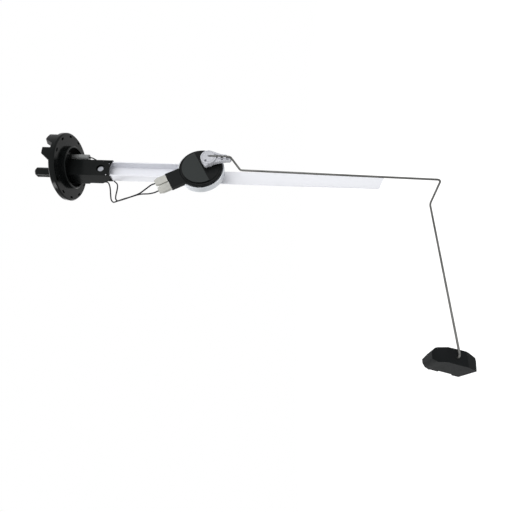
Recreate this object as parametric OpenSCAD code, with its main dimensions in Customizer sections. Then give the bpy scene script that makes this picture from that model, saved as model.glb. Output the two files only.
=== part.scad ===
/* Lever-type level sensor for a tank. The flange closes the tank's port, the rail hangs from it,
   and a rotary resistor head on the rail is turned by a wire arm with a foam float.
   Origin: middle of the flange's face on the tank's side. +Z points out of the tank,
   the rail hangs along -Z, and the head looks along -Y. */

/* [Flange] */
// Diameter of the flange's disc
flange_d = 72; // [66:0.5:90]
// Thickness of the flange's disc
flange_t = 6; // [5:0.1:8]
// Chamfer round the disc's outer edge
flange_chamfer = 1.2; // [0.6:0.1:1.8]
// Diameter of the spigot that enters the tank's port
spigot_d = 45; // [42:0.5:52]
// Height of the spigot
spigot_h = 4.4; // [4:0.1:8]
// Wall of the spigot round its recess
spigot_wall = 1.7; // [1.2:0.1:3]
// Width of the two grooves round the spigot
spigot_groove_w = 0.8; // [0.4:0.1:1]
// Depth of the two grooves round the spigot
spigot_groove_depth = 0.6; // [0.3:0.1:0.8]
// Thickness of the floor that closes the recess
recess_floor_t = 3.7; // [3:0.1:4.5]
// Height of the grip lugs above the disc
lug_h = 7; // [4:0.5:12]
// Radial thickness of the grip lugs
lug_t = 5; // [3:0.5:7]
// Number of cored pockets round the disc
pocket_n = 11; // [6:1:11]
// Depth of the cored pockets
pocket_depth = 2.4; // [1:0.1:3]

/* [Plug stub] */
// Outer diameter of the plug stub
plug_d = 10.4; // [9.6:0.1:12]
// Bore of the plug stub
plug_bore_d = 7.2; // [6.6:0.1:8]
// Height of the plug stub above the disc
plug_h = 30.5; // [24:0.5:50]
// Depth of the plug stub's bore
plug_bore_depth = 14; // [10:0.5:18]
// Diameter of the two contact pins
contact_d = 1.8; // [1.2:0.1:2.2]
// Distance between the two contact pins
contact_pitch = 3.8; // [3.2:0.1:4.2]

/* [Rail] */
// Width of the rail across its two flanges
rail_w = 18; // [16:0.5:20]
// Depth of the rail, from its back to the edges of its flanges
rail_depth = 9.5; // [8:0.5:11]
// Sheet thickness of the rail
rail_t = 1.2; // [1:0.1:1.6]
// Length of the rail below the flange's face
rail_l = 338; // [260:1:420]
// Offset of the rail from the flange's axis
rail_x = -3.3; // [-5:0.1:0]
// Length that the slanted end takes off the rail's lower corner
rail_slant = 7; // [0:0.5:12]
// Strip that the upper edge loses past the head, where the flanges end
rail_edge_cut = 2.4; // [1.6:0.1:3.5]

/* [Rail socket] */
// Wall of the socket round the rail's sides and front
socket_wall = 1; // [0.8:0.1:1.6]
// Thickness of the socket's pad behind the rail
socket_pad = 4.2; // [3:0.1:5]
// Length of the socket below the flange's face
socket_l = 46.6; // [40:0.2:60]
// Depth of the hollow in the socket's front edge
socket_hollow_depth = 2; // [1:0.1:3]
// Clearance of the rail in its socket
socket_clear = 0.1; // [0.05:0.01:0.2]
// Distance of the rivet above the socket's end
rivet_rise = 12; // [10:0.5:16]
// Diameter of the rivet's head
rivet_head_d = 8; // [6:0.5:8.5]
// Diameter of the rivet's shank
rivet_d = 4; // [3:0.5:4.5]

/* [Head] */
// Distance of the head's middle below the flange's face
head_z = 145; // [110:1:200]
// Offset of the head's middle from the flange's axis
head_x = -8.6; // [-10:0.1:-7]
// Outer diameter of the head's metal base
base_d = 48; // [46:0.5:54]
// Height of the base's underside in front of the rail's middle
base_front = 9; // [7.5:0.1:11]
// Thickness of the base's floor
base_floor_t = 1.2; // [1:0.1:2]
// Height of the base's rim above its floor
base_rim_h = 5.5; // [4.5:0.1:6.5]
// Wall of the base's rim
base_rim_t = 1.3; // [1:0.1:1.6]
// Gap between the base's rim and the black cover's top
cover_gap = 0.3; // [0.2:0.05:0.5]
// Height of the cover above the base's rim
cover_h = 2.5; // [2:0.1:4]
// Wall of the cover
cover_wall = 1.4; // [1.2:0.1:1.8]
// Width of the ledge round the cover's raised half
cover_ledge = 3.4; // [2.5:0.1:4.5]
// Height of the cover's raised half above the rest
cover_step_h = 1.5; // [1:0.1:2.5]
// Width of the cover's terminal tail
tail_w = 19; // [18:0.5:24]
// Length of the tail past the cover's edge
tail_l = 13.2; // [10:0.2:18]
// Thickness of the tail
tail_t = 4.4; // [3.6:0.1:5]
// Direction of the tail, seen from the front
tail_turn = 120; // [110:1:130]
// Distance between the pivot and the head's middle
pivot_offset = 10; // [9:0.1:11]

/* [Lever] */
// Diameter of the lever's hub
lever_hub_d = 16; // [14.5:0.5:18]
// Room between the cover's raised half and the lever
lever_room = 1.85; // [0.6:0.05:3]
// Diameter of the lever's shaft where it passes the cover
lever_shaft_d = 9; // [8:0.1:10]
// Reach of the lever's arm from the pivot
lever_reach = 23; // [20:0.5:28]
// Thickness of the lever's arm
lever_t = 3.6; // [3:0.1:4.5]
// Diameter of the pivot pin
pivot_d = 3; // [2.5:0.1:3.5]
// Running clearance between the pivot pin and its bore
pivot_clear = 0.05; // [0.03:0.01:0.08]

/* [Float arm] */
// Diameter of the steel wire
wire_d = 2; // [1.6:0.1:2.2]
// Radius of the wire's bends, at the wire's middle line
wire_bend_r = 3.5; // [2.5:0.1:5]
// Depth of the pin that the wire's end forms in the float
float_pin_l = 42.5; // [42.5:0.5:44]

/* [Float] */
// Length of the float along its pin
float_l = 42; // [42:0.5:50]
// Width of the float
float_w = 19; // [16:0.5:24]
// Height of the float
float_h = 41; // [36:0.5:50]
// Diameter of the float's bore
float_bore_d = 2.1; // [1.8:0.05:2.4]
// Depth of the recess for the retaining clip
float_recess = 7; // [7:0.5:9]

/* [Leads] */
// Diameter of the two insulated leads
lead_d = 1.4; // [1.2:0.1:1.6]
// Diameter of the grey sleeves over the flange's terminals
sleeve_d = 6.6; // [6:0.1:7]
// Length of the grey sleeves
sleeve_l = 18.5; // [16:0.5:22]

/* [Hidden] */
$fn = 96;

// Small gap that keeps moving pieces apart, and a cutter's overlap
gap = 0.3;
over = 0.5;

// Heights below are distances in front of the rail's middle plane, along -Y
web_back = -rail_depth / 2;
web_front = web_back + rail_t;
lip_front = rail_depth / 2;
floor_front = base_front + base_floor_t;
rim_front = floor_front + base_rim_h;
cover_front = rim_front + cover_h;
cover_inside = cover_front - cover_wall;
step_front = cover_front + cover_step_h;
card_t = 1;
card_front = floor_front + card_t;
track_t = 0.12;
spring_t = 0.3;
spring_back = card_front + track_t + gap;
carrier_back = spring_back + spring_t;
carrier_t = 1.6;
carrier_front = cover_inside - gap;
hub_back = step_front + lever_room;
arm_front = hub_back + lever_t;
hub_front = arm_front + 1.5;
wire_r = wire_d / 2;
wire_front = arm_front + wire_r;
tail_back = cover_front - tail_t;
tail_mid = cover_front - tail_t / 2;

// The pivot lies on the tail's line, on the far side of the head's middle
pivot_x = head_x - pivot_offset * cos(tail_turn);
pivot_z = -head_z - pivot_offset * sin(tail_turn);

// The rail's long edges
rail_x0 = rail_x - rail_w / 2;
rail_x1 = rail_x + rail_w / 2;

// Places of the flange's two inner terminals and of the plug stub
terminal_upper = [13.8, 0];
terminal_lower = [-8, 12.6];
terminal_d = 2.4;
plug_x = -7.6;
recess_floor = flange_t - recess_floor_t;
strip_z = recess_floor + 1.4;
strip_t = 1;
strip_w = 3;

// Stands what is drawn face-up at the given place, facing the front
module front(x, z, up = 0) {
    translate([x, -up, z]) rotate([90, 0, 0]) children();
}

// Runs a round rod through points, with exact bends of one radius. Each bend is a hair thinner
// than the rod and reaches a little way into the straight runs beside it.
bend_slack = 0.015;
bend_reach = 2;
function unit(v) = v / norm(v);
function turn_at(a, b, c) = acos(unit(b - a) * unit(c - b));
function cut_at(a, b, c, r) = r * tan(turn_at(a, b, c) / 2);
module rod_bend(a, b, c, r, rod_r) {
    d1 = unit(b - a);
    d2 = unit(c - b);
    angle = turn_at(a, b, c);
    n = (d2 - d1 * cos(angle)) / sin(angle);
    z = cross(d1, n);
    o = b - d1 * cut_at(a, b, c, r) + n * r;
    multmatrix([[-n[0], d1[0], z[0], o[0]], [-n[1], d1[1], z[1], o[1]],
        [-n[2], d1[2], z[2], o[2]], [0, 0, 0, 1]])
        rotate([0, 0, -bend_reach]) rotate_extrude(angle = angle + 2 * bend_reach)
            translate([r, 0]) circle(r = rod_r - bend_slack, $fn = 32);
}
module rod_run(a, b, rod_r) {
    d = unit(b - a);
    translate(a) rotate([0, acos(d[2]), atan2(d[1], d[0])])
        cylinder(r = rod_r, h = norm(b - a), $fn = 32);
}
module rod(points, r, rod_r) {
    last = len(points) - 1;
    for (i = [0 : last - 1]) {
        a = points[i];
        b = points[i + 1];
        d = unit(b - a);
        start = i == 0 ? a : a + d * cut_at(points[i - 1], a, b, r);
        stop = i == last - 1 ? b : b - d * cut_at(a, b, points[i + 2], r);
        rod_run(start, stop, rod_r);
    }
    for (i = [1 : last - 1]) rod_bend(points[i - 1], points[i], points[i + 1], r, rod_r);
}

// Sweeps a plain tube along hand-picked points, smoothed between them
lead_sides = 8;
lead_steps = 3;
function spline(a, b, c, d, t) = 0.5 * (2 * b + (c - a) * t + (2 * a - 5 * b + 4 * c - d) * t * t
    + (3 * b - a - 3 * c + d) * t * t * t);
function smooth(p) = [for (i = [0 : len(p) - 2]) for (s = [0 : lead_steps - 1])
    spline(p[max(i - 1, 0)], p[i], p[i + 1], p[min(i + 2, len(p) - 1)], s / lead_steps),
    p[len(p) - 1]];
function ahead(p, i) = unit(p[min(i + 1, len(p) - 1)] - p[max(i - 1, 0)]);
function across(d) = unit(cross(d, [0.31, 0.87, 0.39]));
module tube(route, r) {
    p = smooth(route);
    n = len(p);
    rings = [for (i = [0 : n - 1]) for (k = [0 : lead_sides - 1])
        p[i] + r * (across(ahead(p, i)) * cos(k * 360 / lead_sides)
            + cross(ahead(p, i), across(ahead(p, i))) * sin(k * 360 / lead_sides))];
    walls = [for (i = [0 : n - 2]) for (k = [0 : lead_sides - 1])
        [i * lead_sides + k, (i + 1) * lead_sides + k,
            (i + 1) * lead_sides + (k + 1) % lead_sides, i * lead_sides + (k + 1) % lead_sides]];
    first = [for (k = [0 : lead_sides - 1]) k];
    last = [for (k = [0 : lead_sides - 1]) (n - 1) * lead_sides + lead_sides - 1 - k];
    polyhedron(rings, concat([first], walls, [last]));
}

// One grip lug: an upright edge on one side, a ramp on the other
module lug(turn, top_w, base_w) {
    intersection() {
        difference() {
            cylinder(d = flange_d, h = flange_t + lug_h);
            translate([0, 0, -over]) cylinder(d = flange_d - 2 * lug_t, h = flange_t + lug_h + 1);
        }
        rotate([0, 0, turn]) translate([flange_d / 2 - lug_t - 3, 0, 0]) rotate([90, 0, 90])
            linear_extrude(lug_t + 6)
                polygon([[0, flange_t / 2], [0, flange_t + lug_h],
                    [-top_w, flange_t + lug_h], [-base_w, flange_t / 2]]);
    }
}
// Both pairs of grip lugs stand opposite each other
lug_pitch = 34;
lug_turn = -60;
module grip_lugs() {
    for (side = [0, 180]) {
        lug(lug_turn + side, 10, 16.5);
        lug(lug_turn - lug_pitch + side, 7, 15.5);
    }
}

// Plan of the rail with the given growth on every side
module rail_plan(grow) {
    translate([rail_x0 - grow, web_back - grow]) square([rail_w + 2 * grow, rail_depth + 2 * grow]);
}
// The socket's front edge is hollowed by an arc over its whole width
socket_w = rail_w + 2 * socket_wall;
socket_arc = (pow(socket_w / 2, 2) + pow(socket_hollow_depth, 2)) / (2 * socket_hollow_depth);
module socket_hollow() {
    front(rail_x, -socket_l + socket_hollow_depth - socket_arc, web_front)
        cylinder(r = socket_arc, h = rail_depth + socket_wall);
}
// Side view of the socket: the pad behind the rail ends early, with a slope
pad_end = socket_l - 5;
pad_slope = 7.5;
module socket_side() {
    front_y = -lip_front - socket_wall;
    back_y = -web_back + socket_pad;
    polygon([[front_y, recess_floor + over], [front_y, -socket_l], [-web_back, -socket_l],
        [-web_back, -pad_end], [back_y, -pad_end + pad_slope], [back_y, recess_floor + over]]);
}
module rail_socket() {
    difference() {
        translate([rail_x - socket_w / 2, 0, 0]) rotate([90, 0, 90])
            linear_extrude(socket_w) socket_side();
        translate([0, 0, -socket_l - over]) mirror([0, 1, 0]) linear_extrude(socket_l + over)
            rail_plan(socket_clear);
        socket_hollow();
    }
}
// Boss that reaches through the open rail and carries the rivet
rivet_x = rail_x - 0.6;
rivet_z = socket_l - rivet_rise;
rivet_tail_d = rivet_d + 2;
rivet_tail_t = 1.4;
rivet_seat = web_back - 1.6;
boss_d = rivet_head_d + 3;
boss_seat = 3.2;
module rivet_boss() {
    front(rivet_x, -rivet_z, web_front)
        cylinder(d = boss_d, h = lip_front + socket_wall - web_front);
}
module rivet_way() {
    front(rivet_x, -rivet_z, rivet_seat - over) cylinder(d = rivet_d, h = rail_depth + 8);
    front(rivet_x, -rivet_z, boss_seat)
        cylinder(d = rivet_head_d + 0.8, h = lip_front + socket_wall + over - boss_seat);
    front(rivet_x, -rivet_z, rivet_seat - socket_pad) cylinder(d = rivet_tail_d + 0.8, h = socket_pad);
}
// Small windows near the socket's front edge
window_d = 2;
module socket_windows() {
    for (p = [[rail_x1 - 3.2, -socket_l + 3.8], [rail_x0 + 0.5, -socket_l + 4.4]])
        front(p[0], p[1], lip_front - over) cylinder(d = window_d, h = socket_wall + 2 * over);
}

// The cored pockets are short slots round the disc, with one place left out
pocket_r = flange_d / 2 - 3.8;
pocket_w = 2.2;
pocket_run = 2.6;
pocket_pitch = 30.7;
module pockets() {
    for (i = [0 : pocket_n - 1]) rotate([0, 0, -94 + i * pocket_pitch])
        translate([pocket_r, 0, -over]) linear_extrude(pocket_depth + over) {
            square([pocket_w, pocket_run], center = true);
            for (s = [-1, 1]) translate([0, s * pocket_run / 2]) circle(d = pocket_w, $fn = 32);
        }
}
module disc_and_spigot() {
    difference() {
        rotate_extrude() polygon([
            [0, -spigot_h], [spigot_d / 2 - 0.5, -spigot_h], [spigot_d / 2, -spigot_h + 0.5],
            [spigot_d / 2, 0], [flange_d / 2 - flange_chamfer, 0], [flange_d / 2, flange_chamfer],
            [flange_d / 2, flange_t - flange_chamfer], [flange_d / 2 - flange_chamfer, flange_t],
            [0, flange_t]]);
        translate([0, 0, -spigot_h - over])
            cylinder(d = spigot_d - 2 * spigot_wall, h = spigot_h + over + recess_floor);
        for (k = [1, 2]) translate([0, 0, -k * spigot_h / 3 - spigot_groove_w / 2]) difference() {
            cylinder(d = spigot_d + 2, h = spigot_groove_w);
            translate([0, 0, -over])
                cylinder(d = spigot_d - 2 * spigot_groove_depth, h = spigot_groove_w + 1);
        }
        pockets();
    }
}
module plug_stub() {
    tip = flange_t + plug_h;
    translate([plug_x, 0, 0]) rotate_extrude() polygon([
        [0, flange_t - 1], [plug_d / 2, flange_t - 1], [plug_d / 2, tip - 1.6],
        [plug_d / 2 - 1.2, tip], [plug_bore_d / 2, tip],
        [plug_bore_d / 2, tip - plug_bore_depth], [0, tip - plug_bore_depth]]);
}
// A contact is a pin in the plug, a strip inside the floor and a terminal in the recess.
// The pins stop short of the stub's mouth.
contact_drop = 5;
module contact(terminal, side) {
    pin = [plug_x, side * contact_pitch / 2];
    run = terminal - pin;
    translate([terminal[0], terminal[1], -spigot_h])
        cylinder(d = terminal_d, h = spigot_h + strip_z + strip_t);
    translate([pin[0], pin[1], strip_z]) rotate([0, 0, atan2(run[1], run[0])])
        translate([0, -strip_w / 2, 0]) cube([norm(run), strip_w, strip_t]);
    translate([pin[0], pin[1], strip_z])
        cylinder(d = contact_d, h = flange_t + plug_h - contact_drop - strip_z);
}
module both_contacts() {
    contact(terminal_upper, -1);
    contact(terminal_lower, 1);
}
module flange() {
    color("#26282a") difference() {
        union() {
            disc_and_spigot();
            grip_lugs();
            plug_stub();
            rail_socket();
            rivet_boss();
        }
        rivet_way();
        socket_windows();
        both_contacts();
    }
}
module contact_upper() { color("#c9a64a") contact(terminal_upper, -1); }
module contact_lower() { color("#c9a64a") contact(terminal_lower, 1); }

// Where the rail's flanges end, below the head's middle
flange_end = head_z + 15;
module rail() {
    color("#e4e6ea") difference() {
        translate([0, 0, -rail_l]) linear_extrude(rail_l) difference() {
            mirror([0, 1, 0]) rail_plan(0);
            translate([rail_x0 + rail_t, -rail_depth])
                square([rail_w - 2 * rail_t, rail_depth - web_front]);
        }
        translate([rail_x0 - over, -rail_depth, -rail_l - over])
            cube([rail_w + 1, rail_depth - web_front, rail_l - flange_end + over]);
        translate([rail_x1 - rail_edge_cut, -rail_depth, -rail_l - over])
            cube([rail_edge_cut + 1, rail_depth * 2, rail_l - flange_end + over]);
        rivet_way();
        head_rivet_holes();
        front(0, -rail_l, -rail_depth) linear_extrude(rail_depth * 2)
            polygon([[rail_x1 - rail_edge_cut, 0], [rail_x0 - 1, 0],
                [rail_x0 - 1, -over], [rail_x1, -over]]);
        front(0, 0, -rail_depth) linear_extrude(rail_depth * 2)
            polygon([[rail_x1, -rail_l - over], [rail_x0 - over, -rail_l - over],
                [rail_x0 - over, -rail_l + rail_slant], [rail_x1 - rail_edge_cut, -rail_l]]);
    }
}
module rail_rivet() {
    color("#d9dbdd") {
        front(rivet_x, -rivet_z, boss_seat) cylinder(d1 = rivet_head_d, d2 = rivet_head_d - 2, h = 1);
        front(rivet_x, -rivet_z, rivet_seat) cylinder(d = rivet_d, h = boss_seat - rivet_seat);
        front(rivet_x, -rivet_z, rivet_seat - rivet_tail_t) cylinder(d = rivet_tail_d, h = rivet_tail_t);
    }
}

// Grey sleeves over the flange's terminals
sleeve_top = recess_floor - 0.2;
module sleeve(terminal) {
    color("#b9bbba") translate([terminal[0], terminal[1], sleeve_top - sleeve_l]) difference() {
        cylinder(d = sleeve_d, h = sleeve_l);
        translate([0, 0, sleeve_l - sleeve_top - spigot_h - over])
            cylinder(d = terminal_d, h = sleeve_l);
        translate([0, 0, -over]) cylinder(d = lead_d + 0.3, h = sleeve_l);
    }
}
module sleeve_upper() { sleeve(terminal_upper); }
module sleeve_lower() { sleeve(terminal_lower); }

// Head: drawn face-up about its own middle
rivet_spots = [[rail_x - head_x, 9], [rail_x - head_x, -17]];
head_rivet_d = 3.2;
head_rivet_head_d = 5.4;
module on_head(up) { front(head_x, -head_z, up) children(); }
module head_rivet_holes() {
    for (p = rivet_spots) translate([p[0], 0, p[1]]) on_head(web_back - over)
        cylinder(d = head_rivet_d, h = rail_t + 1, $fn = 48);
}
module key_plan() {
    w = rail_w - 2 * rail_t - 0.2;
    translate([rail_x - head_x - w / 2, -18]) square([w, 32]);
}
module head_base() {
    color("#b4b8bb") difference() {
        union() {
            on_head(web_front) linear_extrude(lip_front - web_front) key_plan();
            on_head(lip_front) linear_extrude(base_front - lip_front)
                translate([-11, -18]) square([26, 34]);
            on_head(base_front) cylinder(d = base_d, h = base_floor_t);
            on_head(floor_front) difference() {
                cylinder(d = base_d, h = base_rim_h);
                translate([0, 0, -over]) cylinder(d = base_d - 2 * base_rim_t, h = base_rim_h + 1);
            }
        }
        for (p = rivet_spots) translate([p[0], 0, p[1]]) {
            on_head(web_front - over) cylinder(d = head_rivet_d, h = 20, $fn = 48);
            on_head(floor_front - 0.9) cylinder(d = head_rivet_head_d, h = 2, $fn = 48);
        }
        front(pivot_x, pivot_z, base_front - 2) cylinder(d = pivot_d, h = 6, $fn = 48);
        on_head(tail_back - 0.1) rotate([0, 0, tail_turn]) translate([0, -tail_w / 2 - 0.1, 0])
            cube([base_d, tail_w + 0.2, base_rim_h]);
    }
}
module head_rivets() {
    color("#c4c7c9") for (p = rivet_spots) translate([p[0], 0, p[1]]) {
        on_head(web_back - 1) cylinder(d = head_rivet_head_d, h = 1, $fn = 48);
        on_head(web_back) cylinder(d = head_rivet_d, h = floor_front - 0.9 - web_back, $fn = 48);
        on_head(floor_front - 0.9) cylinder(d = head_rivet_head_d, h = 0.9, $fn = 48);
    }
}
module pivot_pin() {
    color("#d0d2d4") front(pivot_x, pivot_z, base_front - 2) cylinder(d = pivot_d, h = 9, $fn = 48);
}

// Head's half on the tail's side of the chord, of the given radius
chord = 1.5;
module tail_half(r) {
    intersection() {
        circle(r = r);
        rotate([0, 0, tail_turn]) translate([-chord, -r]) square([r + chord, 2 * r]);
    }
}
blade_w = 6.3;
blade_t = 0.8;
blade_pitch = 10;
cover_r = base_d / 2 - base_rim_t - cover_gap;
cover_skirt_r = base_d / 2 - base_rim_t - 0.05;
cover_cave_r = cover_skirt_r - cover_wall;
cover_step_r = cover_r - cover_ledge;
tail_reach = cover_r + tail_l;
blade_start = cover_cave_r - 3.75;
blade_end = tail_reach + 7.4;
module blade(side) {
    color("#cfc9b4") on_head(tail_mid - blade_t / 2) rotate([0, 0, tail_turn])
        translate([0, side * blade_pitch / 2, 0]) {
            translate([blade_start, -blade_w / 2, 0])
                cube([blade_end - blade_start, blade_w, blade_t]);
            translate([blade_start, -blade_w / 2, card_front - tail_mid + blade_t / 2])
                cube([blade_t, blade_w, tail_mid - card_front]);
        }
}
module tail_blade_upper() { blade(-1); }
module tail_blade_lower() { blade(1); }

cover_chamfer = 0.8;
groove_w = 0.8;
groove_depth = 0.6;
module cover_body() {
    on_head(floor_front) cylinder(r = cover_skirt_r, h = base_rim_h - 1);
    on_head(floor_front) cylinder(r = cover_r, h = cover_front - cover_chamfer - floor_front);
    on_head(cover_front - cover_chamfer)
        cylinder(r1 = cover_r, r2 = cover_r - cover_chamfer, h = cover_chamfer);
    on_head(cover_front - 0.1) linear_extrude(cover_step_h + 0.1) tail_half(cover_step_r);
    on_head(tail_back) linear_extrude(tail_t) rotate([0, 0, tail_turn])
        translate([cover_cave_r - 1, -tail_w / 2]) square([tail_reach - cover_cave_r + 1, tail_w]);
    front(pivot_x, pivot_z, cover_front - 0.1) cylinder(d = lever_shaft_d + 4, h = 0.8);
}
module head_cover() {
    color("#2b2d2f") difference() {
        cover_body();
        on_head(floor_front - over) cylinder(r = cover_cave_r, h = cover_inside - floor_front + over);
        on_head(cover_inside - 0.1) linear_extrude(cover_step_h + 0.1)
            tail_half(cover_step_r - cover_wall);
        for (side = [-1, 1]) on_head(tail_mid - blade_t / 2) rotate([0, 0, tail_turn])
            translate([blade_start, side * blade_pitch / 2 - blade_w / 2, 0])
                cube([blade_end - blade_start, blade_w, blade_t]);
        front(pivot_x, pivot_z, cover_inside - 1)
            cylinder(d = lever_shaft_d + 2 * gap, h = cover_wall + cover_step_h + 3);
        on_head(cover_front - groove_depth) difference() {
            cylinder(r = cover_step_r + groove_w, h = groove_depth + over);
            translate([0, 0, -over]) cylinder(r = cover_step_r, h = groove_depth + 3 * over);
        }
    }
}

card_r = cover_cave_r - 0.3;
module resistor_card() {
    color("#e9e6dc") {
        on_head(floor_front) linear_extrude(card_t) difference() {
            tail_half(card_r);
            translate([pivot_x - head_x, pivot_z + head_z]) circle(d = pivot_d + 12);
        }
        front(pivot_x, pivot_z, card_front) linear_extrude(track_t)
            for (r = [20, 22.6]) intersection() {
                difference() {
                    circle(r = r + 0.8);
                    circle(r = r - 0.8);
                }
                polygon([[0, 0], for (a = [78 : 14 : 162]) 32 * [cos(a), sin(a)]]);
            }
    }
}

module in_tail(side, at) {
    on_head(tail_mid) rotate([0, 0, tail_turn]) translate([at, side * blade_pitch / 2, 0]) children();
}
receptacle_start = tail_reach + 0.4;
receptacle_l = 8;
crimp_l = 4;
module receptacle(side) {
    color("#d8c27a") in_tail(side, receptacle_start) difference() {
        union() {
            translate([0, -(blade_w + 1) / 2, -(blade_t + 1) / 2])
                cube([receptacle_l, blade_w + 1, blade_t + 1]);
            translate([receptacle_l - over, 0, 0]) rotate([0, 90, 0])
                cylinder(d = lead_d + 1, h = crimp_l + over, $fn = 48);
        }
        translate([-over, -blade_w / 2, -blade_t / 2])
            cube([blade_end - receptacle_start + over + 0.3, blade_w, blade_t]);
        translate([receptacle_l - 0.1, 0, 0]) rotate([0, 90, 0])
            cylinder(d = lead_d, h = crimp_l + 1, $fn = 48);
    }
}
module receptacle_upper() { receptacle(-1); }
module receptacle_lower() { receptacle(1); }
clear_sleeve_l = 13;
module sleeve_section(grow) {
    w = blade_w + 1.2 + 2 * grow;
    h = blade_t + 1.6 + 2 * grow;
    square([h - 1, w], center = true);
    square([h, w - 1], center = true);
    for (i = [-1, 1], k = [-1, 1]) translate([i * (h - 1) / 2, k * (w - 1) / 2])
        circle(d = 1, $fn = 32);
}
module clear_sleeve(side) {
    color("#e2ded2") in_tail(side, receptacle_start - 0.2) rotate([0, 90, 0]) difference() {
        linear_extrude(clear_sleeve_l) sleeve_section(0.6);
        translate([0, 0, -over]) linear_extrude(clear_sleeve_l + 1) sleeve_section(0);
    }
}
module clear_sleeve_upper() { clear_sleeve(-1); }
module clear_sleeve_lower() { clear_sleeve(1); }

// Rotor: the carrier turns on the pivot pin and drags the wiper over the card
module wiper_carrier() {
    color("#dcdcd8") front(pivot_x, pivot_z, carrier_back) difference() {
        union() {
            cylinder(d = 13, h = carrier_t);
            cylinder(d = 11, h = carrier_front - carrier_back);
        }
        translate([0, 0, -over]) cylinder(d = tenon_d + 0.1, h = 10);
    }
}
tenon_d = 6;
wiper_turn = tail_turn + 37.5;
wiper_reach = 23.4;
module wiper_spring() {
    color("#c98f4a") front(pivot_x, pivot_z, spring_back) linear_extrude(spring_t) difference() {
        union() {
            circle(d = 12);
            rotate([0, 0, wiper_turn]) translate([0, -2.2]) square([wiper_reach, 4.4]);
        }
        circle(d = tenon_d + 0.1);
        rotate([0, 0, wiper_turn]) translate([13, -0.4]) square([12, 0.8]);
    }
}
// Lever, drawn about the pivot with its arm hanging down
wire_x = 3.3;
wire_hole_y = 1.3;
hub_shift = [2.2, 0.3];
hook_l = 3;
hook_spots = [0.47, 0.71];
module arm_plan() {
    w = lever_hub_d / 2;
    l = lever_reach;
    polygon([[1.26 * w, 0], [1.26 * w, -0.19 * l], [0.94 * w, -0.48 * l], [0.76 * w, -0.77 * l],
        [0.48 * w, -0.9 * l], [0.2 * w, -l], [-0.08 * w, -0.94 * l], [-0.08 * w, -0.78 * l],
        [-0.2 * w, -0.56 * l], [-0.45 * w, -0.23 * l], [-0.6 * w, 0]]);
}
// Small pointed tab beside the hub
module tab_plan() {
    w = lever_hub_d / 2;
    polygon([[-0.6 * w, -0.25 * w], [-w, 0.25 * w], [-0.7 * w, 0.6 * w], [-0.3 * w, 0.3 * w]]);
}
module lever() {
    color("#eef0f1") difference() {
        union() {
            front(pivot_x + hub_shift[0], pivot_z + hub_shift[1], hub_back)
                cylinder(d = lever_hub_d, h = hub_front - hub_back);
            front(pivot_x, pivot_z, hub_back) linear_extrude(lever_t) arm_plan();
            front(pivot_x, pivot_z, hub_back) linear_extrude(lever_t) tab_plan();
            front(pivot_x, pivot_z, carrier_front + gap / 2)
                cylinder(d = lever_shaft_d, h = hub_back - carrier_front);
            front(pivot_x, pivot_z, carrier_back) cylinder(d = tenon_d, h = 6);
            for (part = hook_spots) snap_hook(-part * lever_reach);
        }
        front(pivot_x, pivot_z, carrier_back - 1)
            cylinder(d = pivot_d + 2 * pivot_clear, h = base_front + 7.6 - carrier_back + 1, $fn = 48);
        rod(wire_way, wire_bend_r, wire_r + wire_clear);
        front(pivot_x + wire_x, pivot_z + wire_hole_y, wire_front) wire_slot();
        front(pivot_x - 2.5, pivot_z + 2.6, hub_front - 2.5) linear_extrude(3)
            square(2.2, center = true);
    }
}
// The wire is pressed into the slot from the front, past the hub's face
wire_clear = 0.05;
module wire_slot() {
    w = wire_d + 2 * wire_clear;
    slot_l = lever_reach - 2;
    translate([-w / 2, -slot_l, 0]) cube([w, slot_l, 6]);
}
module snap_hook(y) {
    front(pivot_x + wire_x, pivot_z + y, arm_front - 0.1)
        translate([-wire_r - 1.1, -hook_l / 2, 0]) cube([wire_d + 2.2, hook_l, wire_d * 0.85]);
}

// Route of the wire, from its end in the hub to its end in the float
float_x = -183;
float_z = -387.4;
float_front = -10;
float_back = -float_front + float_l;
wire_side_y = 5;
wire_route = [
    [pivot_x + wire_x, -(wire_front - 5), pivot_z + wire_hole_y],
    [pivot_x + wire_x, -wire_front, pivot_z + wire_hole_y],
    [pivot_x + wire_x, -wire_front, -175.5],
    [-16.6, -wire_front, -187],
    [-20.6, -wire_front, -381.5],
    [-28.4, wire_side_y, -381.7],
    [float_x, wire_side_y, float_z],
    [float_x, wire_side_y + float_pin_l, float_z]];
// The wire's bed in the lever, a little deeper in the hub than the wire's end
wire_way = [wire_route[0] + [0, 0.2, 0], wire_route[1], wire_route[2], wire_route[3]];
module wire_arm() { color("#8d9092") rod(wire_route, wire_bend_r, wire_r); }

// Float, drawn face-up about its pin
float_top = float_h * 0.535;
float_bottom = float_h - float_top;
module float_plan() {
    scale([float_w / 19, float_h / 41])
        polygon([[4.1, 21.9], [8, 18.4], [8.6, 16.1], [9.1, 6.7], [6.9, -4.5], [5.2, -11.6],
            [2, -18.7], [-0.7, -19.1], [-9.9, -17.6], [-7.8, -7.3], [-4.3, 8.2], [-4.2, 17.8],
            [-1.7, 21.9]]);
}
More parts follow.
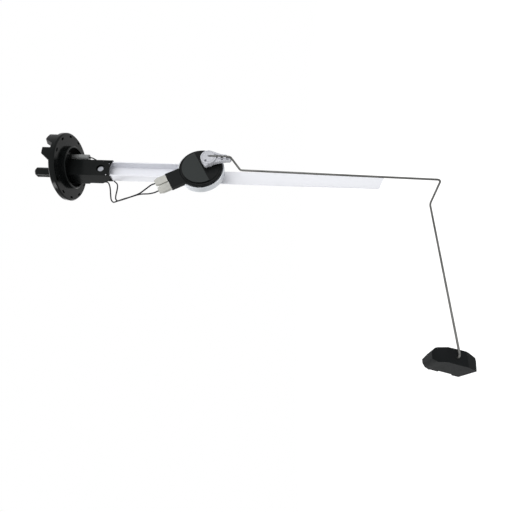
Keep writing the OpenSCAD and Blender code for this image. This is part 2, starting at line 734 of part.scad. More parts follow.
// Seen from the side, the upper end slopes away at the float's back and the lower at its front
slope_l = 18;
slope_h = 12;
nose_l = 7;
nose_h = 10.4;
module float_slopes() {
    top = float_z + float_top;
    bottom = float_z - float_bottom;
    polygon([[float_back - slope_l, top], [float_back, top - slope_h],
        [float_back + 1, top - slope_h], [float_back + 1, top + 1], [float_back - slope_l, top + 1]]);
    polygon([[-float_front + nose_l, bottom], [-float_front, bottom + nose_h],
        [-float_front - 1, bottom + nose_h], [-float_front - 1, bottom - 1],
        [-float_front + nose_l, bottom - 1]]);
}
module float() {
    color("#2a2c2e") difference() {
        front(float_x, float_z, float_front - float_l) linear_extrude(float_l) float_plan();
        front(float_x, float_z, float_front - float_l - 1)
            cylinder(d = float_bore_d, h = float_l + 2, $fn = 48);
        front(float_x, float_z, float_front - float_l - over)
            cylinder(d = clip_d + 3, h = float_recess + over, $fn = 48);
        translate([float_x - float_w, 0, 0]) rotate([90, 0, 90]) linear_extrude(2 * float_w)
            float_slopes();
    }
}
clip_d = 6;
module float_clip() {
    color("#b9bcbe") front(float_x, float_z, float_front - float_l + float_recess - 0.9)
        difference() {
            cylinder(d = clip_d, h = 0.6, $fn = 48);
            translate([0, 0, -over]) cylinder(d = wire_d, h = 2, $fn = 48);
        }
}

// Routes of the two leads, from the flange's terminals to the tail's receptacles
function tail_point(side, at) = [
    head_x + at * cos(tail_turn) - side * blade_pitch / 2 * sin(tail_turn), -tail_mid,
    -head_z + at * sin(tail_turn) + side * blade_pitch / 2 * cos(tail_turn)];
lead_end = receptacle_start + receptacle_l + 0.4;
lead_upper_route = concat([
    [13.8, 0, -5], [13.8, 0, -17.4], [13.2, 1.2, -21.5], [11.4, 4.8, -26], [7, 9.9, -31],
    [0, 10.4, -36], [-6, 9, -41.5], [-10.8, 7.8, -46.6], [-15.4, 5.6, -51.2], [-20.6, 2.6, -54],
    [-26.6, 1, -55.3], [-34.8, -0.4, -56.1], [-39.3, -1.4, -57.4], [-42.1, -2.6, -60.4],
    [-41.6, -5, -67], [-40.3, -7.6, -74.5], [-38, -11, -84.4], [-34.2, -14.4, -91.8]],
    [tail_point(-1, lead_end + 8.5), tail_point(-1, lead_end + 5), tail_point(-1, lead_end)]);
lead_lower_route = concat([
    [-8, 12.6, -5], [-8, 12.6, -17.6], [-8.6, 12.2, -23], [-9.6, 11.2, -29], [-10.8, 9.8, -35],
    [-13.4, 7.2, -40.6], [-21.5, 4.4, -45.4], [-33, 1.4, -49.6], [-39.9, -0.8, -52.5],
    [-43.8, -2.4, -56.2], [-43.7, -4.6, -61.1], [-42.6, -7.4, -68.4], [-41.6, -9.6, -75.4],
    [-39.9, -12.8, -86.1], [-40.3, -15, -96]],
    [tail_point(1, lead_end + 8.5), tail_point(1, lead_end + 5), tail_point(1, lead_end)]);
module lead_upper() { color("#2b2d30") tube(lead_upper_route, lead_d / 2); }
module lead_lower() { color("#2b2d30") tube(lead_lower_route, lead_d / 2); }

flange();
contact_upper();
contact_lower();
rail();
rail_rivet();
sleeve_upper();
sleeve_lower();
lead_upper();
lead_lower();
head_base();
head_rivets();
head_cover();
resistor_card();
tail_blade_upper();
tail_blade_lower();
receptacle_upper();
receptacle_lower();
clear_sleeve_upper();
clear_sleeve_lower();
pivot_pin();
wiper_carrier();
wiper_spring();
lever();
wire_arm();
float();
float_clip();
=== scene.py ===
# %% [markdown]
# # A lever-type tank level sensor
# The real thing closes a round port in a tank. A rail hangs from its flange and carries a small
# rotary resistor, and a steel wire with a foam float turns that resistor as the level changes.
# It could all be modelled here, but its sizes and joints are already settled in a CAD model. So
# that model is loaded first and stays a fixed frame: every piece made here sits on it.

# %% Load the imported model
import math

import bmesh
import bpy
from mathutils import Matrix, Vector


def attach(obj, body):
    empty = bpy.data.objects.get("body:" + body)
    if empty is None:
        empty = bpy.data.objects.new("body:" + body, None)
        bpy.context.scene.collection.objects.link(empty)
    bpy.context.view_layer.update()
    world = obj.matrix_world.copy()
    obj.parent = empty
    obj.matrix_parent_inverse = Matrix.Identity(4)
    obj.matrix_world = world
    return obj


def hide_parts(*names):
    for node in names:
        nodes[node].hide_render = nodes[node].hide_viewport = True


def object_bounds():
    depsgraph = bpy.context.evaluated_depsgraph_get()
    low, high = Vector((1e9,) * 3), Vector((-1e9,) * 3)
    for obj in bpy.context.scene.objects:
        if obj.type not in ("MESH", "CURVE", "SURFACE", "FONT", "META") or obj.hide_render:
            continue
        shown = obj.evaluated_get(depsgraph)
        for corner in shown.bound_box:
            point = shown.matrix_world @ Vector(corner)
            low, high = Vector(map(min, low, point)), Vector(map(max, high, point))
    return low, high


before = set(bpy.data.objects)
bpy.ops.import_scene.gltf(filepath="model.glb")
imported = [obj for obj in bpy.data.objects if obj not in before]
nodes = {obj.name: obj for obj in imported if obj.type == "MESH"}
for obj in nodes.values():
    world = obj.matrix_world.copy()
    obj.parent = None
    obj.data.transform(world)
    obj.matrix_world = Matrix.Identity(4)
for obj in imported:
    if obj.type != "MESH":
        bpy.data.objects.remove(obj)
cad_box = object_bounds()
MM = 0.001
print("nodes loaded:", len(nodes))
print("CAD box in mm:", [round(c / MM, 1) for corner in cad_box for c in corner])

# %% [markdown]
# ## Camera
# The viewing angle comes first, because every later choice is judged through it. A camera could be
# moved by hand until it looks right. This one was fitted to outlines in the photo, which is more
# exact. Its own axes are written as three directions, which is clearer than three turning angles
# when the part is seen lying on its side. The Standard view keeps a white background white.

# %% Camera
right = Vector((0.05331, 0.0219, -0.99834))
up = Vector((0.90845, -0.41614, 0.03938))
back = right.cross(up).normalized()
camera_place = Vector((-0.25317, -0.34198, -0.22198))
picture_width = 512
focal_pixels = 390.5
sensor_mm = 36

camera_data = bpy.data.cameras.new("camera")
camera_data.sensor_width = sensor_mm
camera_data.lens = sensor_mm * focal_pixels / picture_width
camera_data.clip_start = 0.01
camera = bpy.data.objects.new("camera", camera_data)
axes = Matrix((right, up, back)).transposed().to_4x4()
camera.matrix_world = Matrix.Translation(camera_place) @ axes
bpy.context.scene.collection.objects.link(camera)
bpy.context.scene.camera = camera
bpy.context.scene.view_settings.view_transform = "Standard"
print("lens in mm:", round(camera_data.lens, 2))

# %% [markdown]
# ## A helper for selecting
# Operators act on whatever is selected, and the loaded nodes start out selected. Each operator
# could be given its own context instead. Starting every step with one selected, active object is
# simpler to read and harder to get wrong.

# %% Selecting
def choose(thing):
    """Makes one object the only selected and active one."""
    bpy.ops.object.select_all(action="DESELECT")
    thing.select_set(True)
    bpy.context.view_layer.objects.active = thing


bpy.ops.object.select_all(action="DESELECT")
print("selected:", len(bpy.context.selected_objects))

# %% [markdown]
# ## The two leads
# Two thin insulated leads run from the flange's terminals to the head. Real ones are stiff enough
# to keep the bow they are bent to. A simulation could let them fall, but it wouldn't find that bow.
# So each route is a list of given points. The CAD model uses the same points, so both lie
# in one place. The last stretch of each runs straight along the head's tail.

# %% Routes of the leads
head_x, head_z = -8.6, -145.0
tail_turn = math.radians(120)
tail_height = 16.0
blade_pitch = 10.0
lead_end = 44.4
straight_run = (8.5, 5, 0)


def tail_point(side, along):
    """A point on the tail's middle line, shifted to one of its two terminals, in mm."""
    x = head_x + along * math.cos(tail_turn) - side * blade_pitch / 2 * math.sin(tail_turn)
    z = head_z + along * math.sin(tail_turn) + side * blade_pitch / 2 * math.cos(tail_turn)
    return (x, -tail_height, z)


upper_route = [(13.8, 0, -5), (13.8, 0, -17.4), (13.2, 1.2, -21.5), (11.4, 4.8, -26),
               (7, 9.9, -31), (0, 10.4, -36), (-6, 9, -41.5), (-10.8, 7.8, -46.6),
               (-15.4, 5.6, -51.2), (-20.6, 2.6, -54), (-26.6, 1, -55.3), (-34.8, -0.4, -56.1),
               (-39.3, -1.4, -57.4), (-42.1, -2.6, -60.4), (-41.6, -5, -67),
               (-40.3, -7.6, -74.5), (-38, -11, -84.4), (-34.2, -14.4, -91.8),
               *[tail_point(-1, lead_end + run) for run in straight_run]]
lower_route = [(-8, 12.6, -5), (-8, 12.6, -17.6), (-8.6, 12.2, -23), (-9.6, 11.2, -29),
               (-10.8, 9.8, -35), (-13.4, 7.2, -40.6), (-21.5, 4.4, -45.4), (-33, 1.4, -49.6),
               (-39.9, -0.8, -52.5), (-43.8, -2.4, -56.2), (-43.7, -4.6, -61.1),
               (-42.6, -7.4, -68.4), (-41.6, -9.6, -75.4), (-39.9, -12.8, -86.1),
               (-40.3, -15, -96),
               *[tail_point(1, lead_end + run) for run in straight_run]]
print("points:", len(upper_route), len(lower_route))

# %% [markdown]
# A line straight from point to point would show corners. A soft curve is worked out instead: over
# each stretch it also follows the points before and after, so it passes through all of them
# without a kink.

# %% Smooth curves through the routes
steps = 6


def smooth(route):
    """Points of a soft curve that passes through every point of the route."""
    p = [Vector(q) * MM for q in route]
    found = []
    for i in range(len(p) - 1):
        a, b, c, d = p[max(i - 1, 0)], p[i], p[i + 1], p[min(i + 2, len(p) - 1)]
        for s in range(steps):
            t = s / steps
            found.append(0.5 * (2 * b + (c - a) * t + (2 * a - 5 * b + 4 * c - d) * t * t
                                + (3 * b - a - 3 * c + d) * t * t * t))
    return found + [p[-1]]


def length_of(points):
    """The length of a line through the points, in metres."""
    return sum((b - a).length for a, b in zip(points, points[1:]))


print("smooth points:", len(smooth(upper_route)), len(smooth(lower_route)))

# %% [markdown]
# The insulation is a round tube along that curve. A circle could be pushed along it ring by ring.
# A curve with a bevel depth does the same in one step, and it is then turned into a mesh, because
# the box that Blender keeps for a curve came out far bigger than the lead.

# %% Leads
lead_radius = 0.7 * MM


def lead(name, route, radius):
    """A round lead along one open curve, turned into a tube."""
    points = smooth(route)
    curve = bpy.data.curves.new(name, "CURVE")
    curve.dimensions = "3D"
    curve.bevel_depth = radius
    curve.bevel_resolution = 3
    curve.use_fill_caps = True
    spline = curve.splines.new("POLY")
    spline.points.add(len(points) - 1)
    for spot, place in zip(spline.points, points):
        spot.co = (*place, 1)
    spline.use_smooth = True
    thing = bpy.data.objects.new(name, curve)
    bpy.context.scene.collection.objects.link(thing)
    choose(thing)
    bpy.ops.object.convert(target="MESH")
    print(name, "length in mm:", round(length_of(points) / MM, 1))
    return thing, points


upper_lead, upper_points = lead("upper_lead", upper_route, lead_radius)
lower_lead, lower_points = lead("lower_lead", lower_route, lead_radius)
for thing, points, node in ((upper_lead, upper_points, "lead_upper"),
                            (lower_lead, lower_points, "lead_lower")):
    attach(thing, "frame")
    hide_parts(node)

# %% [markdown]
# ## Materials
# No real surface has one even colour or one even shine. A single flat colour would be quicker, but
# it looks like a toy. So each finish is a small node tree: a base colour that drifts a little over
# the piece, a roughness that is never quite even, and a fine bump at the real grain's size. All
# patterns read Object coordinates, which are metres here, so a scale of 1000 gives detail about a
# millimetre wide.

# %% A finish with a drifting colour, uneven gloss and fine grain
usual_grain = 900
drift_low, drift_high = 0.35, 0.65
drift_detail = 5
grain_detail = 3
bump_strength = 0.6


def finish(name, dark, light, rough, grain=usual_grain, depth=0.00004, stretch=(1, 1, 1),
           drift=45, metallic=0.0, spread=0.08, **sockets):
    """Makes one material. sockets are fixed values of the shader's other inputs."""
    material = bpy.data.materials.new(name)
    material.use_nodes = True
    tree = material.node_tree
    shader = tree.nodes["Principled BSDF"]
    add = tree.nodes.new
    link = tree.links.new
    place = add("ShaderNodeTexCoord")
    turn = add("ShaderNodeMapping")
    turn.inputs["Scale"].default_value = stretch
    link(place.outputs["Object"], turn.inputs["Vector"])

    cloud = add("ShaderNodeTexNoise")
    cloud.inputs["Scale"].default_value = drift
    cloud.inputs["Detail"].default_value = drift_detail
    link(turn.outputs["Vector"], cloud.inputs["Vector"])
    ramp = add("ShaderNodeValToRGB")
    ramp.color_ramp.elements[0].position = drift_low
    ramp.color_ramp.elements[1].position = drift_high
    ramp.color_ramp.elements[0].color = (*dark, 1)
    ramp.color_ramp.elements[1].color = (*light, 1)
    link(cloud.outputs["Fac"], ramp.inputs["Fac"])
    link(ramp.outputs["Color"], shader.inputs["Base Color"])

    speck = add("ShaderNodeTexNoise")
    speck.inputs["Scale"].default_value = grain
    speck.inputs["Detail"].default_value = grain_detail
    link(turn.outputs["Vector"], speck.inputs["Vector"])
    gloss = add("ShaderNodeMapRange")
    gloss.inputs["To Min"].default_value = rough - spread
    gloss.inputs["To Max"].default_value = rough + spread
    link(speck.outputs["Fac"], gloss.inputs["Value"])
    link(gloss.outputs["Result"], shader.inputs["Roughness"])
    bump = add("ShaderNodeBump")
    bump.inputs["Strength"].default_value = bump_strength
    bump.inputs["Distance"].default_value = depth
    link(speck.outputs["Fac"], bump.inputs["Height"])
    link(bump.outputs["Normal"], shader.inputs["Normal"])

    shader.inputs["Metallic"].default_value = metallic
    for socket, value in sockets.items():
        shader.inputs[socket.replace("_", " ")].default_value = value
    return material


print("usual grain in mm:", round(1 / usual_grain / MM, 1))

# %% [markdown]
# ### Plastics and rubbers
# The mouldings are satin black or a cool white, the sleeves are soft rubber or milky plastic, and
# the float is foam with a fine skin. Each could have a tree of its own, but one function with other
# values keeps them alike and easy to compare. The blacks send back little light, so their specular
# level is low.

# %% Plastics and rubbers
black_moulding = finish("black_moulding", (0.005, 0.006, 0.006), (0.009, 0.010, 0.010), 0.2,
                        depth=0.000008, spread=0.04, Specular_IOR_Level=0.08)
cover_moulding = finish("cover_moulding", (0.007, 0.008, 0.008), (0.011, 0.012, 0.012), 0.2,
                        depth=0.000008, spread=0.04, Specular_IOR_Level=0.09)
grey_rubber = finish("grey_rubber", (0.19, 0.2, 0.2), (0.26, 0.27, 0.27), 0.45)
# Painted shade: the lower sleeve is grey rubber like the upper one, darkened here for the shade
# where it shows below the socket.
painted_shade_rubber = finish("painted_shade_rubber", (0.012, 0.013, 0.013), (0.018, 0.019, 0.019), 0.5,
                     Specular_IOR_Level=0.1)
lead_skin = finish("lead_skin", (0.004, 0.004, 0.005), (0.007, 0.007, 0.009), 0.4,
                   Specular_IOR_Level=0.12)
clear_skin = finish("clear_skin", (0.42, 0.42, 0.39), (0.5, 0.5, 0.465), 0.3, drift=90,
                    depth=0.00001)
white_moulding = finish("white_moulding", (0.5, 0.51, 0.545), (0.55, 0.56, 0.595), 0.26,
                        grain=1500, depth=0.000006, spread=0.04)
foam = finish("foam", (0.005, 0.006, 0.006), (0.009, 0.010, 0.0105), 0.66, grain=1500,
              depth=0.0001, Specular_IOR_Level=0.06)
print("materials so far:", len(bpy.data.materials))

# %% [markdown]
# ### Metals and the card
# The rail is anodised, which is more like a pale skin than bare metal, so it is hardly metallic,
# and its grain is drawn out along its length by stretching the pattern. The wire, the rivets and
# the terminals are true metals. The resistor card is a pale ceramic.

# %% Metals and the card
anodised_rail = finish("anodised_rail", (0.80, 0.81, 0.85), (0.85, 0.86, 0.9), 0.5, grain=1400,
                       depth=0.000015, stretch=(1, 1, 0.03), metallic=0.08,
                       Specular_IOR_Level=0.3)
base_metal = finish("base_metal", (0.50, 0.52, 0.54), (0.58, 0.6, 0.63), 0.42, grain=1100,
                    depth=0.00002, metallic=0.6)
rivet_metal = finish("rivet_metal", (0.26, 0.27, 0.29), (0.34, 0.35, 0.38), 0.36, metallic=0.9)
brass = finish("brass", (0.7, 0.55, 0.25), (0.78, 0.64, 0.33), 0.28, metallic=1.0)
tinned = finish("tinned", (0.7, 0.68, 0.6), (0.78, 0.76, 0.7), 0.3, metallic=1.0)
bronze = finish("bronze", (0.62, 0.38, 0.2), (0.72, 0.47, 0.27), 0.28, metallic=1.0)
drawn_wire = finish("drawn_wire", (0.07, 0.07, 0.067), (0.115, 0.115, 0.11), 0.36, grain=1600,
                    depth=0.00001, metallic=0.85)
ceramic = finish("ceramic", (0.78, 0.76, 0.7), (0.86, 0.84, 0.79), 0.5)
print("materials:", len(bpy.data.materials))

# %% [markdown]
# ### Matt face of the cover
# The cover's raised half gets a lighter colour and a matt gloss, while the rest shines.
# Its faces could be picked and given a second material. The height towards the front already tells
# the two apart, so one material that switches at that height needs no picking.

# %% Matt face of the cover
raised_height = 0.019
matt_colour = (0.032, 0.036, 0.0355)
matt_roughness = 0.5


def matt_above(material, height, colour, rough):
    """Gives what stands higher than a height, measured towards the front, another colour and
    roughness.
    """
    tree = material.node_tree
    shader = tree.nodes["Principled BSDF"]
    place = tree.nodes.new("ShaderNodeTexCoord")
    split = tree.nodes.new("ShaderNodeSeparateXYZ")
    higher = tree.nodes.new("ShaderNodeMath")
    higher.operation = "LESS_THAN"
    higher.inputs[1].default_value = -height
    tree.links.new(place.outputs["Object"], split.inputs[0])
    tree.links.new(split.outputs["Y"], higher.inputs[0])
    for socket, mode, kind, value in (("Base Color", "RGBA", "Color", (*colour, 1)),
                                      ("Roughness", "FLOAT", "Float", rough)):
        mix = tree.nodes.new("ShaderNodeMix")
        mix.data_type = mode
        sides = {side.identifier: side for side in (*mix.inputs, *mix.outputs)}
        tree.links.new(higher.outputs[0], sides["Factor_Float"])
        tree.links.new(shader.inputs[socket].links[0].from_socket, sides["A_" + kind])
        sides["B_" + kind].default_value = value
        tree.links.new(sides["Result_" + kind], shader.inputs[socket])


matt_above(cover_moulding, raised_height, matt_colour, matt_roughness)
print("matt from a height in mm:", raised_height / MM)

# %% [markdown]
# ## Softened copies of the CAD solids
# A moulded or folded piece never has knife-sharp edges: the mould or the press leaves a small
# radius that catches the light. A piece could be modelled afresh with such edges, but a copy of
# its CAD solid keeps every size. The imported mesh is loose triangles, so the copy is merged first
# and its flat triangles are dissolved into whole faces, which a bevel can follow.

# %% Copying
weld_distance = 0.000002
flat_angle = math.radians(0.4)


def merged_copy(node, material):
    """A copy of a CAD node, with its loose triangles joined into whole faces."""
    mesh = nodes[node].data.copy()
    piece = bpy.data.objects.new(node + "_soft", mesh)
    bpy.context.scene.collection.objects.link(piece)
    mesh.materials.clear()
    mesh.materials.append(material)
    choose(piece)
    bpy.ops.object.mode_set(mode="EDIT")
    bpy.ops.mesh.select_all(action="SELECT")
    bpy.ops.mesh.remove_doubles(threshold=weld_distance)
    bpy.ops.mesh.dissolve_limited(angle_limit=flat_angle)
    bpy.ops.object.mode_set(mode="OBJECT")
    print(piece.name, "faces before rounding:", len(mesh.polygons))
    return piece


# %% [markdown]
# ### Rounding
# A bevel can find sharp edges by their angle, which suits a piece with one radius all over. Where
# one region is rounder, its edges are marked with a bevel weight, and the bevel keeps to the mark.
# The outer edges of a rounded strip keep the mark, so a second marked rounding works on them.

# %% Rounding
sharp_angle = math.radians(32)


def mark_edges(piece, where):
    """Marks a piece's sharp edges whose middle, in mm, passes the test."""
    work = bmesh.new()
    work.from_mesh(piece.data)
    weight = work.edges.layers.float.new("bevel_weight_edge")
    for edge in work.edges:
        sharp = len(edge.link_faces) == 2 and edge.calc_face_angle() > sharp_angle
        middle = (edge.verts[0].co + edge.verts[1].co) / 2 / MM
        edge[weight] = 1.0 if sharp and where(middle) else 0.0
    print(piece.name, "edges marked:", sum(edge[weight] == 1.0 for edge in work.edges))
    work.to_mesh(piece.data)
    work.free()


def rounded(piece, width, segments=2, marked_only=False):
    """Rounds a piece's sharp edges, or only the marked ones. The width is in mm."""
    bevel = piece.modifiers.new("round", "BEVEL")
    bevel.width = width * MM
    bevel.segments = segments
    bevel.limit_method = "WEIGHT" if marked_only else "ANGLE"
    bevel.angle_limit = sharp_angle
    bevel.miter_outer = "MITER_ARC"
    choose(piece)
    bpy.ops.object.modifier_apply(modifier=bevel.name)


# %% [markdown]
# ### Shading
# A rounded edge beside a flat face makes the flat one look puffy, because shading is blended from
# face to face. Weighted normals lean the shading towards the larger face, so flats look flat, and
# edges that are still sharp stay sharp. The same helper hangs the piece on its body and hides the
# CAD node that it replaces.

# %% Shading and seating
large_face_weight = 80


def seated(piece, node, body):
    """Smooths the piece's shading and lets it stand for its CAD node."""
    choose(piece)
    bpy.ops.object.shade_smooth_by_angle(angle=sharp_angle)
    even = piece.modifiers.new("even", "WEIGHTED_NORMAL")
    even.keep_sharp = True
    even.weight = large_face_weight
    bpy.ops.object.modifier_apply(modifier=even.name)
    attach(piece, body)
    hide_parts(node)
    print(piece.name, "faces:", len(piece.data.polygons))


# %% [markdown]
# ## The flange
# The flange is one black moulding. In the photo the disc's rim and its grip lugs are rounder than
# the rest. A bevel by angle alone can't tell them apart, so the rim's edges are marked. They are
# rounded twice, the second time where the first strip meets the flats, which makes a softer curve.
# Then every edge that is still sharp gets a small radius.

# %% Flange
disc_top = 6.0
rim_depth = 1.5
rim_inside = 29
flange_piece = merged_copy("flange", black_moulding)
mark_edges(flange_piece, lambda p: p.z > disc_top - rim_depth and p.xy.length > rim_inside)
rounded(flange_piece, width=1.1, segments=3, marked_only=True)
rounded(flange_piece, width=1.2, segments=4, marked_only=True)
rounded(flange_piece, width=0.35)
seated(flange_piece, "flange", "frame")

# %% [markdown]
# ## The rail
# The rail is folded sheet, and its sheared edges are broken so that they don't cut. A thin profile
# could be bent up again here, but the CAD already has it, so one small radius on a copy is enough.

# %% Rail
rail_piece = merged_copy("rail", anodised_rail)
rounded(rail_piece, width=0.3)
seated(rail_piece, "rail", "frame")

# %% [markdown]
# ## The head
# The head is a metal base under a black moulded cover. A shallow hollow runs round the cover
# between its edge and the raised half. It could be spun from a profile. A ring that is taken out of
# the solid gives the same hollow in one step, and the CAD's size stays as it is.

# %% Carving
def carve(piece, cutter):
    """Takes the cutter's shape out of the piece and deletes the cutter."""
    choose(piece)
    cut = piece.modifiers.new("cut", "BOOLEAN")
    cut.operation = "DIFFERENCE"
    cut.solver = "EXACT"
    cut.object = cutter
    bpy.ops.object.modifier_apply(modifier=cut.name)
    bpy.data.objects.remove(cutter)
    print(piece.name, "faces after a cut:", len(piece.data.polygons))


def ring_cutter(x, height, z, radius, thick):
    """A ring that lies face-up in front of the rail, in mm."""
    bpy.ops.object.select_all(action="DESELECT")
    bpy.ops.mesh.primitive_torus_add(location=(x * MM, -height * MM, z * MM),
                                     rotation=(math.pi / 2, 0, 0), major_radius=radius * MM,
                                     minor_radius=thick * MM, major_segments=96,
                                     minor_segments=20)
    return bpy.context.object


# %% Head
cover_top = 18.2
moat_lift = 0.25
moat_radius = 20.6
moat_thick = 1.15
base_piece = merged_copy("head_base", base_metal)
rounded(base_piece, width=0.3)
seated(base_piece, "head_base", "frame")
cover_piece = merged_copy("head_cover", cover_moulding)
carve(cover_piece, ring_cutter(head_x, cover_top + moat_lift, head_z, moat_radius, moat_thick))
rounded(cover_piece, width=0.35)
seated(cover_piece, "head_cover", "frame")

# %% [markdown]
# ## The lever
# The lever is a white moulding with a ring round its hub and small cored pockets beside the wire.
# The pockets could be inset faces, but the lever's faces aren't laid out for that, so boxes are
# taken out of it. They are shallow, so the wall under them stays.

# %% Box cutter
def box_cutter(low, high):
    """A box between two corners, in mm."""
    low, high = Vector(low) * MM, Vector(high) * MM
    bpy.ops.object.select_all(action="DESELECT")
    bpy.ops.mesh.primitive_cube_add(size=1, location=(low + high) / 2)
    box = bpy.context.object
    box.scale = high - low
    bpy.ops.object.transform_apply(location=False, rotation=False, scale=True)
    return box


# %% Lever
pivot_x = head_x + 5.0
pivot_z = head_z - 8.66
hub_front = 26.65
hub_ring_x = pivot_x + 2.2
hub_ring_z = pivot_z + 0.3
hub_ring_radius = 6.3
hub_ring_thick = 0.45
lever_front = 25.15
pocket_depth = 1.6
cutter_spare = 3
# Each pocket's left and right edge, and its top and bottom, from the pivot.
pockets = ((-0.5, 1.5, -12.6, -15.0), (4.9, 6.1, -5.5, -12.5), (0.3, 1.6, -18.0, -20.4))
lever_piece = merged_copy("lever", white_moulding)
carve(lever_piece, ring_cutter(hub_ring_x, hub_front, hub_ring_z, hub_ring_radius, hub_ring_thick))
for left, right_edge, top, bottom in pockets:
    carve(lever_piece, box_cutter(
        (pivot_x + left, -lever_front - cutter_spare, pivot_z + bottom),
        (pivot_x + right_edge, -lever_front + pocket_depth, pivot_z + top)))
rounded(lever_piece, width=0.22)
seated(lever_piece, "lever", "arm")

# %% [markdown]
# ## The clear sleeves
# A clear sleeve is pushed over each terminal and narrows to a neck round the lead. It could be
# lofted from rings of its own, but only its free end has to change. So the copy gets a new ring of
# edges where the terminal's box ends, and what lies beyond is drawn in and back.

# %% Clear sleeves
along_tail = Vector((math.cos(tail_turn), 0, math.sin(tail_turn)))
box_end = 44.2
end_from = 0.5
neck_back = 0.5
neck_share = 0.62
for side, node in ((-1, "clear_sleeve_upper"), (1, "clear_sleeve_lower")):
    sleeve = merged_copy(node, clear_skin)
    ring = Vector(tail_point(side, box_end)) * MM
    bpy.ops.object.mode_set(mode="EDIT")
    bpy.ops.mesh.select_all(action="SELECT")
    bpy.ops.mesh.bisect(plane_co=ring, plane_no=along_tail)
    bpy.ops.object.mode_set(mode="OBJECT")
    free_end = [v for v in sleeve.data.vertices if (v.co - ring).dot(along_tail) > end_from * MM]
    end_middle = sum((v.co for v in free_end), Vector()) / len(free_end)
    for vertex in free_end:
        offset = (vertex.co - end_middle) * Vector((neck_share, 1, neck_share))
        vertex.co = end_middle + offset - along_tail * neck_back * MM
    print(sleeve.name, "free end:", len(free_end), "of", len(sleeve.data.vertices))
    seated(sleeve, node, "frame")

# %% [markdown]
# ## The float
# Closed-cell foam is cut or moulded with soft corners. A shallow slot crosses its back end, where
# the clip is pushed on, and one corner is cut off at a slant. A box and a cutting plane make both
# on a copy. Only the outer edges in front of the slot are marked and rounded, wide and then
# narrow, so the bore's rim and the slot stay crisp.

# %% Cutting off a corner
def trimmed(piece, place, facing):
    """Cuts off what lies beyond a plane and closes the cut. The place is in mm."""
    choose(piece)
    bpy.ops.object.mode_set(mode="EDIT")
    bpy.ops.mesh.select_all(action="SELECT")
    bpy.ops.mesh.bisect(plane_co=Vector(place) * MM, plane_no=Vector(facing).normalized(),
                        use_fill=True, clear_outer=True)
    bpy.ops.object.mode_set(mode="OBJECT")
    print(piece.name, "faces after the trim:", len(piece.data.polygons))


# %% Float
pin_x, pin_z = -183.0, -387.4
float_back = 52.0
slot_depth = 3.6
slot_floor = float_back - slot_depth
slot_half = 14
slot_spare = 2
slot_margin = 1
slot_top = pin_z + 1.7
slot_bottom = pin_z - 11.2
corner_place = (pin_x + 8, 10, pin_z + 18.4)
corner_facing = (1, 0.17, 0.6)
bore_rim = 5.5
float_piece = merged_copy("float", foam)
carve(float_piece, box_cutter((pin_x - slot_half, slot_floor, slot_bottom),
                              (pin_x + slot_half, float_back + slot_spare, slot_top)))
trimmed(float_piece, corner_place, corner_facing)
mark_edges(float_piece, lambda p: math.hypot(p.x - pin_x, p.z - pin_z) > bore_rim
           and p.y < slot_floor - slot_margin)
rounded(float_piece, width=1.3, segments=4, marked_only=True)
rounded(float_piece, width=0.3, marked_only=True)
seated(float_piece, "float", "float")

# %% [markdown]
# ## Finishes of the pieces that keep their CAD shape
# Pins, blades, rivets, the rubber sleeves and the wire are small, already round or out of sight. A
# softened copy of each could be made, but it would hardly show. So they stay as they are and only
# get their material. The two leads get theirs here too.

# %% Dress the other nodes
finishes = {
    "contact_upper": brass, "contact_lower": brass, "rail_rivet": rivet_metal,
    # The lower sleeve gets the grey rubber darkened as painted shade.
    "sleeve_upper": grey_rubber, "sleeve_lower": painted_shade_rubber, "head_rivets": rivet_metal,
    "resistor_card": ceramic, "tail_blade_upper": tinned, "tail_blade_lower": tinned,
    "receptacle_upper": brass, "receptacle_lower": brass, "pivot_pin": rivet_metal,
    "wiper_carrier": white_moulding, "wiper_spring": bronze, "wire_arm": drawn_wire,
    "float_clip": rivet_metal,
}
for name, material in finishes.items():
    mesh = nodes[name].data
    mesh.materials.clear()
    mesh.materials.append(material)
for thing in (upper_lead, lower_lead):
    thing.data.materials.append(lead_skin)
print("dressed:", len(finishes))

# %% [markdown]
# ## Background
# The photo has a plain white background and soft light from all round. More light on the part
# could make the background white too, but it would wash the part out. So the world is plain white
# to the camera and to reflections, and a soft grey to everything else.

# %% Telling the rays apart
def any_ray(tree, rays):
    """One for camera, glossy and transmission rays."""
    first = tree.nodes.new("ShaderNodeMath")
    first.operation = "MAXIMUM"
    second = tree.nodes.new("ShaderNodeMath")
    second.operation = "MAXIMUM"
    tree.links.new(rays.outputs["Is Camera Ray"], first.inputs[0])
    tree.links.new(rays.outputs["Is Glossy Ray"], first.inputs[1])
    tree.links.new(first.outputs[0], second.inputs[0])
    tree.links.new(rays.outputs["Is Transmission Ray"], second.inputs[1])
    return second.outputs[0]


# %% World
soft_strength = 0.72
white_strength = 1.0
world = bpy.data.worlds.new("world")
bpy.context.scene.world = world
world.use_nodes = True
tree = world.node_tree
tree.nodes.clear()
out = tree.nodes.new("ShaderNodeOutputWorld")
mix = tree.nodes.new("ShaderNodeMixShader")
soft_light = tree.nodes.new("ShaderNodeBackground")
white_back = tree.nodes.new("ShaderNodeBackground")
rays = tree.nodes.new("ShaderNodeLightPath")
for light, strength in ((soft_light, soft_strength), (white_back, white_strength)):
    light.inputs["Color"].default_value = (1, 1, 1, 1)
    light.inputs["Strength"].default_value = strength
tree.links.new(any_ray(tree, rays), mix.inputs[0])
tree.links.new(soft_light.outputs[0], mix.inputs[1])
tree.links.new(white_back.outputs[0], mix.inputs[2])
tree.links.new(mix.outputs[0], out.inputs["Surface"])
print("world light:", soft_strength)

# %% [markdown]
# ## Floor
# The photo shows plain white and no floor. One is made all the same, well below the hanging part,
# so that views from other sides have ground under them. A plain white floor turns grey in its own
# shade, so this one also glows for the same rays, with some real shading left for a shadow.

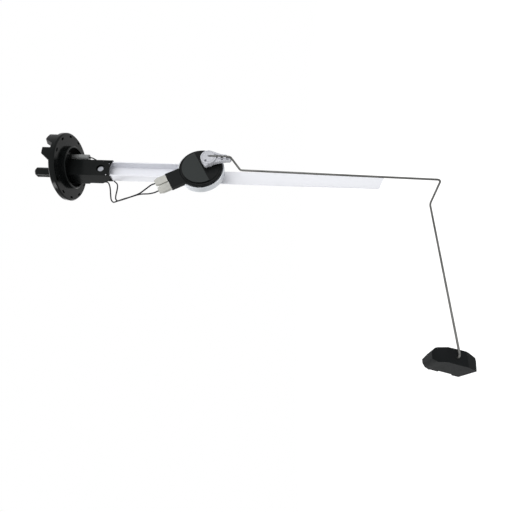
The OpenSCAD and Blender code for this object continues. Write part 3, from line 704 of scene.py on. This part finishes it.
# %% Floor
floor_drop = 0.03
floor_radius = 2.5
floor_grey = 0.35
floor_glow = 0.8
bpy.ops.object.select_all(action="DESELECT")
bpy.ops.mesh.primitive_circle_add(vertices=96, radius=floor_radius, fill_type="NGON",
                                  location=(0, 0, cad_box[0].z - floor_drop))
floor = bpy.context.object
floor.name = "floor"
floor_paint = bpy.data.materials.new("floor_paint")
floor_paint.use_nodes = True
tree = floor_paint.node_tree
shader = tree.nodes["Principled BSDF"]
shader.inputs["Base Color"].default_value = (floor_grey, floor_grey, floor_grey, 1)
shader.inputs["Roughness"].default_value = 0.9
shader.inputs["Specular IOR Level"].default_value = 0.0
glow = tree.nodes.new("ShaderNodeEmission")
rays = tree.nodes.new("ShaderNodeLightPath")
lift = tree.nodes.new("ShaderNodeMath")
lift.operation = "MULTIPLY"
lift.inputs[1].default_value = floor_glow
tree.links.new(any_ray(tree, rays), lift.inputs[0])
tree.links.new(lift.outputs[0], glow.inputs["Strength"])
both = tree.nodes.new("ShaderNodeAddShader")
tree.links.new(shader.outputs[0], both.inputs[0])
tree.links.new(glow.outputs[0], both.inputs[1])
tree.links.new(both.outputs[0], tree.nodes["Material Output"].inputs["Surface"])
floor.data.materials.append(floor_paint)
print("floor height in mm:", round(floor.location.z / MM, 1))

# %% [markdown]
# ## Lamps
# In the photo bright streaks lie along the upper edges, and the blacks stay black. One large soft
# lamp would lift everything alike. A small key makes the streaks here, and wide soft lamps in
# front, behind and above fill the rest.

# %% Lamps
middle = Vector((-0.06, 0.0, -0.2))


def softbox(name, place, size, power):
    """A square lamp that looks at the part's middle."""
    data = bpy.data.lights.new(name, "AREA")
    data.size = size
    data.energy = power
    lamp = bpy.data.objects.new(name, data)
    lamp.location = place
    lamp.rotation_mode = "QUATERNION"
    lamp.rotation_quaternion = (middle - Vector(place)).to_track_quat("-Z", "Y")
    bpy.context.scene.collection.objects.link(lamp)
    print(name, "power in watts:", power)


softbox("key", (-0.9, 0.15, 0.48), size=0.3, power=4.6)
softbox("fill", (0.05, -1.15, -0.15), size=0.9, power=7.8)
softbox("rear", (0.3, 1.0, 0.35), size=0.9, power=4)
softbox("top", (0.0, 0.0, 1.1), size=0.8, power=2)
